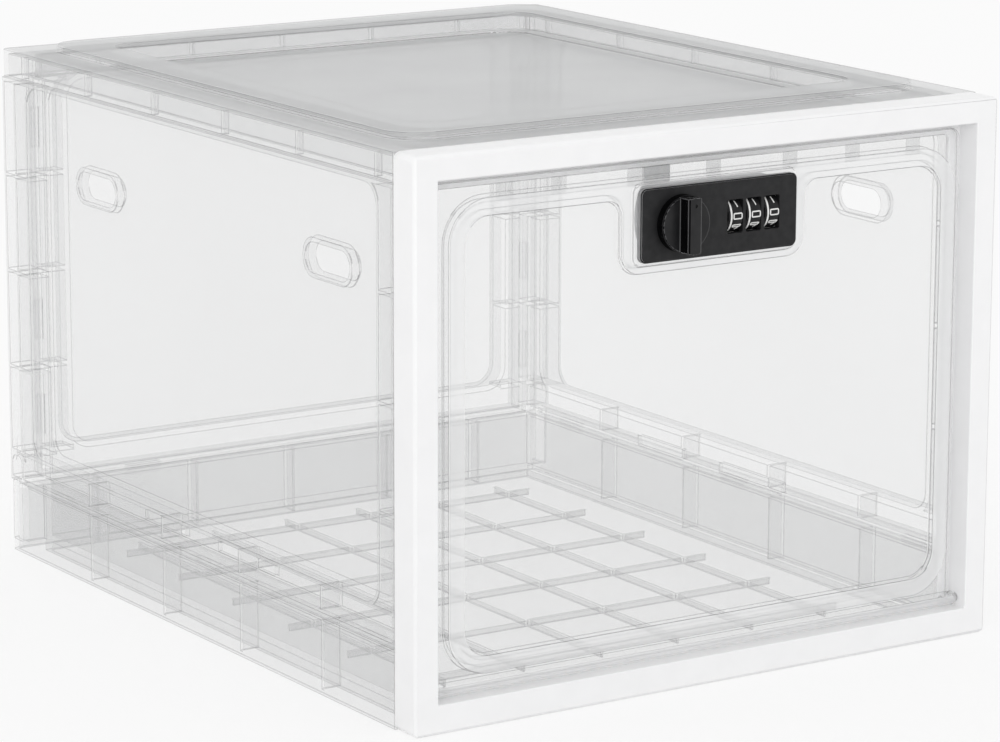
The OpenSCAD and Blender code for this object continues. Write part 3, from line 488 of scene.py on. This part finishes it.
# On the faceplate and the knob: how far back from the front edges are softened, and the length up
# to which they stay sharp
PLATE_FRONT, PLATE_SHORT = 0.1 * MM, 0.12 * MM
KNOB_FRONT, KNOB_SHORT = 5.6 * MM, 0.2 * MM
knob_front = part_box("knob")[0].y + KNOB_FRONT
WEIGHTS = {
    "front_frame": bevel_weights("frame_edges", SOFT["front_frame"]),
    "lock_faceplate": bevel_weights("plate_edges", SOFT["lock_faceplate"],
                                    plate_lo.y + PLATE_FRONT, PLATE_SHORT),
    "knob": bevel_weights("knob_edges", SOFT["knob"], knob_front, KNOB_SHORT),
}
CLEAR_WEIGHTS = bevel_weights("clear_edges", CLEAR_SOFT)
# Points of a CAD node's mesh that are closer than this are joined
WELD_GAP = 0.03 * MM


def dress(name, obj):
    """Gives a CAD node its materials and soft edges."""
    look = LOOK.get(name, (STEEL, STEEL))
    obj.data.materials.clear()
    for material in look:
        obj.data.materials.append(material)
    obj.modifiers.new("weld", "WELD").merge_threshold = WELD_GAP
    slotted = len(look) > 2
    weighted = name in SOFT or slotted
    if slotted:
        obj.modifiers.new("slots", "NODES").node_group = SLOTS.get(name, WALL_SLOTS)
    if weighted:
        obj.modifiers.new("edges", "NODES").node_group = WEIGHTS.get(name, CLEAR_WEIGHTS)
    soft = obj.modifiers.new("soft_edges", "BEVEL")
    soft.width = SOFT.get(name, CLEAR_SOFT if slotted else PLAIN_SOFT)
    soft.segments = 2
    soft.limit_method = "WEIGHT" if weighted else "ANGLE"
    soft.angle_limit = SHARP
    soft.use_clamp_overlap = not weighted
    soft.loop_slide = False
    soft.material = EDGE_SLOT


for name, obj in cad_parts.items():
    dress(name, obj)


def put(name, data):
    """Puts a new object into the scene."""
    obj = bpy.data.objects.new(name, data)
    scene.collection.objects.link(obj)
    return obj


def new_piece(name, bm, material, body):
    """Turns a mesh in the making into a piece that rides on a body."""
    bmesh.ops.recalc_face_normals(bm, faces=bm.faces)
    mesh = bpy.data.meshes.new(name)
    bm.to_mesh(mesh)
    bm.free()
    mesh.materials.append(material)
    piece = put(name, mesh)
    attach(piece, body)
    return piece


# Clear tabs that hang from the cover behind the frame's top member, in millimetres: the middles
# along x, the half width, the bottom and top, the thickness and the softened edges
TAB_MIDDLES = (-83.6, -60.1, -27.1, 7.9, 42.8, 71.9, 100.6)
TAB_HALF = 3.1
TAB_BOTTOM, TAB_TOP = 187.7, 194.4
TAB_T = 1.2
TAB_SOFT = 0.3
# The frame's pegs stand this far out behind its flange, which the tabs clear by the gap
PEG_LENGTH = 1.8
TAB_GAP = 0.1
# The faces of a box, by the numbers of its corners
BOX_FACES = ((0, 1, 3, 2), (4, 6, 7, 5), (0, 4, 5, 1), (2, 3, 7, 6), (0, 2, 6, 4), (1, 5, 7, 3))


def header_tabs():
    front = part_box("front_frame")[1].y / MM - PEG_LENGTH + TAB_GAP
    bm = bmesh.new()
    for middle in TAB_MIDDLES:
        corners = [bm.verts.new((x * MM, y * MM, z * MM))
                   for x in (middle - TAB_HALF, middle + TAB_HALF)
                   for y in (front, front + TAB_T)
                   for z in (TAB_BOTTOM, TAB_TOP)]
        for face in BOX_FACES:
            bm.faces.new([corners[k] for k in face])
    tabs = new_piece("header_tabs", bm, TAB, "case")
    soft = tabs.modifiers.new("soft_edges", "BEVEL")
    soft.width = TAB_SOFT * MM
    soft.segments = 2


header_tabs()


# Figures and ring line on the number wheels, in millimetres along and round the wheel: the half
# width of a figure's stroke, half a figure's field and its place along the wheel, and the ring
# line's place, half width and number of steps. The figures are print; the white ring line along
# each wheel's left edge is a painted highlight, where the wheel's rim catches light.
HALF_STROKE = 0.24
FIGURE_W, FIGURE_H = 1.8, 1.0
FIGURE_OFFSET = 1.0
GLINT_RING_AT, GLINT_RING_HALF = -1.85, 0.36
GLINT_RING_STEPS = 96
# How far the print stands proud of the wheel, and how far it is sunk in
PROUD, SUNK = 0.05, 0.1


def arc(cx, cy, rx, ry, start, end, steps=14):
    turns = [math.radians(start + (end - start) * k / steps) for k in range(steps + 1)]
    return [(cx + rx * math.cos(a), cy + ry * math.sin(a)) for a in turns]


def line(a, b, steps=4):
    return [(a[0] + (b[0] - a[0]) * k / steps, a[1] + (b[1] - a[1]) * k / steps)
            for k in range(steps + 1)]


def path(*stretches):
    """One stroke through all stretches, without the first point of each later one."""
    points = list(stretches[0])
    for stretch in stretches[1:]:
        points += stretch[1:]
    return points


def zero(w, h):
    r = 0.4
    points = []
    for x, y, a in ((w - r, h - r, 0), (-w + r, h - r, 90), (-w + r, -h + r, 180),
                    (w - r, -h + r, 270)):
        points += arc(x, y, r, r, a, a + 90, 4)
        if a in (90, 270):
            points += line(points[-1], (points[-1][0], -points[-1][1]))[1:-1]
    return [(points, True)]


def nine(w, h):
    r, top, low = 0.35, h + 0.1, 0.25
    loop = (arc(w - r, top - r, r, r, 0, 90, 4) + arc(-w + r, top - r, r, r, 90, 180, 4)
            + arc(-w + r, low + r, r, r, 180, 270, 4) + line((-w + r, low), (w - 0.2, low))[1:])
    return [(loop, False), (line((w, top - r), (-0.3, -h), 8), False)]


def figure(d, w, h):
    """The strokes of a digit in a field 2w by 2h, each with whether it is closed."""
    if d == 0:
        return zero(w, h)
    if d == 1:
        return [(line((-0.4, h + 0.5), (0.3, -h - 0.15), 8), False)]
    if d == 2:
        return [(path(arc(0, 0.45 * h, w, 0.55 * h, 170, -60, 10), line((0.75, -0.03), (-w, -h)),
                      line((-w, -h), (w, -h))), False)]
    if d == 3:
        return [(arc(0, h * 0.5, w, h * 0.5, 150, -80, 10), False),
                (arc(0, -h * 0.5, w, h * 0.5, 80, -150, 10), False)]
    if d == 4:
        return [(path(line((0.6, -h), (0.6, h), 8), line((0.6, h), (-w, -0.3)),
                      line((-w, -0.3), (w, -0.3))), False)]
    if d == 5:
        return [(path(line((w, h), (-w + 0.1, h)), line((-w + 0.1, h), (-w, 0.12)))
                 + arc(0, -0.35 * h, w, 0.65 * h, 130, -150, 10), False)]
    if d == 6:
        return [(path(arc(0.1, 0, w, h, 60, 180, 8),
                      arc(0, -0.42 * h, w, 0.58 * h, 180, 520, 14)), False)]
    if d == 7:
        return [(path(line((-w, h), (w, h)), line((w, h), (-0.4, -h), 8)), False)]
    if d == 8:
        return [(arc(0, 0.52 * h, 0.83 * w, 0.48 * h, 0, 345, 14), True),
                (arc(0, -0.48 * h, w, 0.52 * h, 0, 345, 14), True)]
    return nine(w, h)


def ribbon(strokes, half, place, name, body, girth=0.0):
    """Lays flat strokes on a wheel as one piece.

    place puts a point of the print, at a height over the wheel's skin, into space. girth is the
    length that a ring's stroke closes over.
    """
    bm = bmesh.new()
    for points, closed in strokes:
        n = len(points)
        rows = []
        for k, point in enumerate(points):
            a = points[k - 1] if closed or k > 0 else point
            b = points[(k + 1) % n] if closed or k < n - 1 else point
            rise = b[1] - a[1]
            if girth:
                rise -= girth * round(rise / girth)
            along = Vector((b[0] - a[0], rise)).normalized()
            aside = Vector((-along.y, along.x)) * half
            left, right = Vector(point) + aside, Vector(point) - aside
            rows.append([bm.verts.new(place(p, height))
                         for p, height in ((left, PROUD), (right, PROUD), (right, -SUNK),
                                           (left, -SUNK))])
        for k in range(n if closed else n - 1):
            row, next_row = rows[k], rows[(k + 1) % n]
            for q in range(4):
                r = (q + 1) % 4
                bm.faces.new((row[q], row[r], next_row[r], next_row[q]))
        if not closed:
            bm.faces.new(rows[0])
            bm.faces.new(list(reversed(rows[-1])))
    return new_piece(name, bm, PRINT_AND_GLINT, body)


def wheel_figures(i):
    low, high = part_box("number_wheel_%d" % i)
    middle = (low + high) / 2
    radius = (high.z - low.z) / 2 / MM
    girth = 2 * math.pi * radius
    pitch = girth / 10

    def place(point, height):
        turn = point[1] / radius
        out = (radius + height) * MM
        return Vector((middle.x + point[0] * MM, middle.y - out * math.cos(turn),
                       middle.z + out * math.sin(turn)))

    strokes = [([(x + FIGURE_OFFSET, y + d * pitch) for x, y in points], closed)
               for d in range(10) for points, closed in figure(d, FIGURE_W, FIGURE_H)]
    ring = [(GLINT_RING_AT, k * girth / GLINT_RING_STEPS) for k in range(GLINT_RING_STEPS)]
    body = "wheel_%d" % i
    ribbon(strokes, HALF_STROKE, place, "figures_%d" % i, body)
    # The ring line: a painted highlight along the wheel's rim
    ribbon([(ring, True)], GLINT_RING_HALF, place, "ring_glint_%d" % i, body, girth)


for i in WHEELS:
    wheel_figures(i)


# Floor: pale, and nearly white where it is seen directly
FLOOR_HALF = 9
FLOOR_DROP = 0.2 * MM
FLOOR_GLOW = 0.8


def pale_floor():
    material = finish_of("pale_floor", (0.885, 0.885, 0.885), 0.002, (0.8, 0.9), scale=3,
                         relief=0.0, specular=0.0)
    nt = material.node_tree
    surface = next(n for n in nt.nodes if n.type == "OUTPUT_MATERIAL").inputs["Surface"]
    plain = surface.links[0].from_socket
    glow = nt.nodes.new("ShaderNodeEmission")
    mix = nt.nodes.new("ShaderNodeMixShader")
    nt.links.new(maths(nt, "MULTIPLY", seen_directly(nt), FLOOR_GLOW), mix.inputs[0])
    nt.links.new(plain, mix.inputs[1])
    nt.links.new(glow.outputs[0], mix.inputs[2])
    nt.links.new(mix.outputs[0], surface)
    return material


def floor():
    mesh = bpy.data.meshes.new("floor")
    mesh.from_pydata([(x * FLOOR_HALF, y * FLOOR_HALF, 0)
                      for x, y in ((-1, -1), (1, -1), (1, 1), (-1, 1))], [], [(0, 1, 2, 3)])
    mesh.materials.append(pale_floor())
    ground = put("floor", mesh)
    ground.location.z = -FLOOR_DROP


floor()

# Light: a white studio, a little weaker where it lights a surface than where it is seen, and one
# wide lamp
STUDIO_LIGHT, STUDIO_SEEN = 0.86, 1.0
LAMP_AZIMUTH, LAMP_ELEVATION = math.radians(42), math.radians(6)
LAMP_STRENGTH = 1.0
LAMP_WIDTH = math.radians(60)


def studio():
    world = bpy.data.worlds.new("studio")
    world.use_nodes = True
    nt = world.node_tree
    nt.nodes.clear()
    out = nt.nodes.new("ShaderNodeOutputWorld")
    white = nt.nodes.new("ShaderNodeBackground")
    white.inputs["Color"].default_value = (1, 1, 1, 1)
    strength = nt.nodes.new("ShaderNodeMapRange")
    strength.inputs["To Min"].default_value = STUDIO_LIGHT
    strength.inputs["To Max"].default_value = STUDIO_SEEN
    nt.links.new(seen_directly(nt), strength.inputs["Value"])
    nt.links.new(strength.outputs["Result"], white.inputs["Strength"])
    nt.links.new(white.outputs[0], out.inputs["Surface"])
    scene.world = world


def lamp():
    data = bpy.data.lights.new("key", "SUN")
    data.energy = LAMP_STRENGTH
    data.angle = LAMP_WIDTH
    key = put("key", data)
    towards = Vector((-math.sin(LAMP_AZIMUTH) * math.cos(LAMP_ELEVATION),
                      -math.cos(LAMP_AZIMUTH) * math.cos(LAMP_ELEVATION),
                      math.sin(LAMP_ELEVATION)))
    key.rotation_euler = towards.to_track_quat("Z", "Y").to_euler()


studio()
lamp()

# Camera at the photo's angle: where it stands, and how it is turned
CAMERA_AT = Vector((-0.8920, -1.37615, 0.4507))
YAW, PITCH, ROLL = math.radians(33.12), math.radians(12.395), math.radians(0.143)
LENS, SENSOR = 152.5, 36


def photo_camera():
    ahead = Vector((math.sin(YAW) * math.cos(PITCH), math.cos(YAW) * math.cos(PITCH),
                    -math.sin(PITCH)))
    level = Vector((math.cos(YAW), -math.sin(YAW), 0))
    upright = level.cross(ahead)
    right = math.cos(ROLL) * level + math.sin(ROLL) * upright
    up = -math.sin(ROLL) * level + math.cos(ROLL) * upright
    data = bpy.data.cameras.new("photo")
    data.lens = LENS
    data.sensor_width = SENSOR
    data.clip_start = 0.05
    data.clip_end = 100
    camera = put("photo", data)
    turned = Matrix((right, up, -ahead)).transposed().to_4x4()
    camera.matrix_world = Matrix.Translation(CAMERA_AT) @ turned
    scene.camera = camera


photo_camera()

scene.view_settings.view_transform = "Standard"
# Many clear walls lie behind one another
scene.cycles.transparent_max_bounces = 64
scene.cycles.max_bounces = 8
scene.cycles.diffuse_bounces = 4
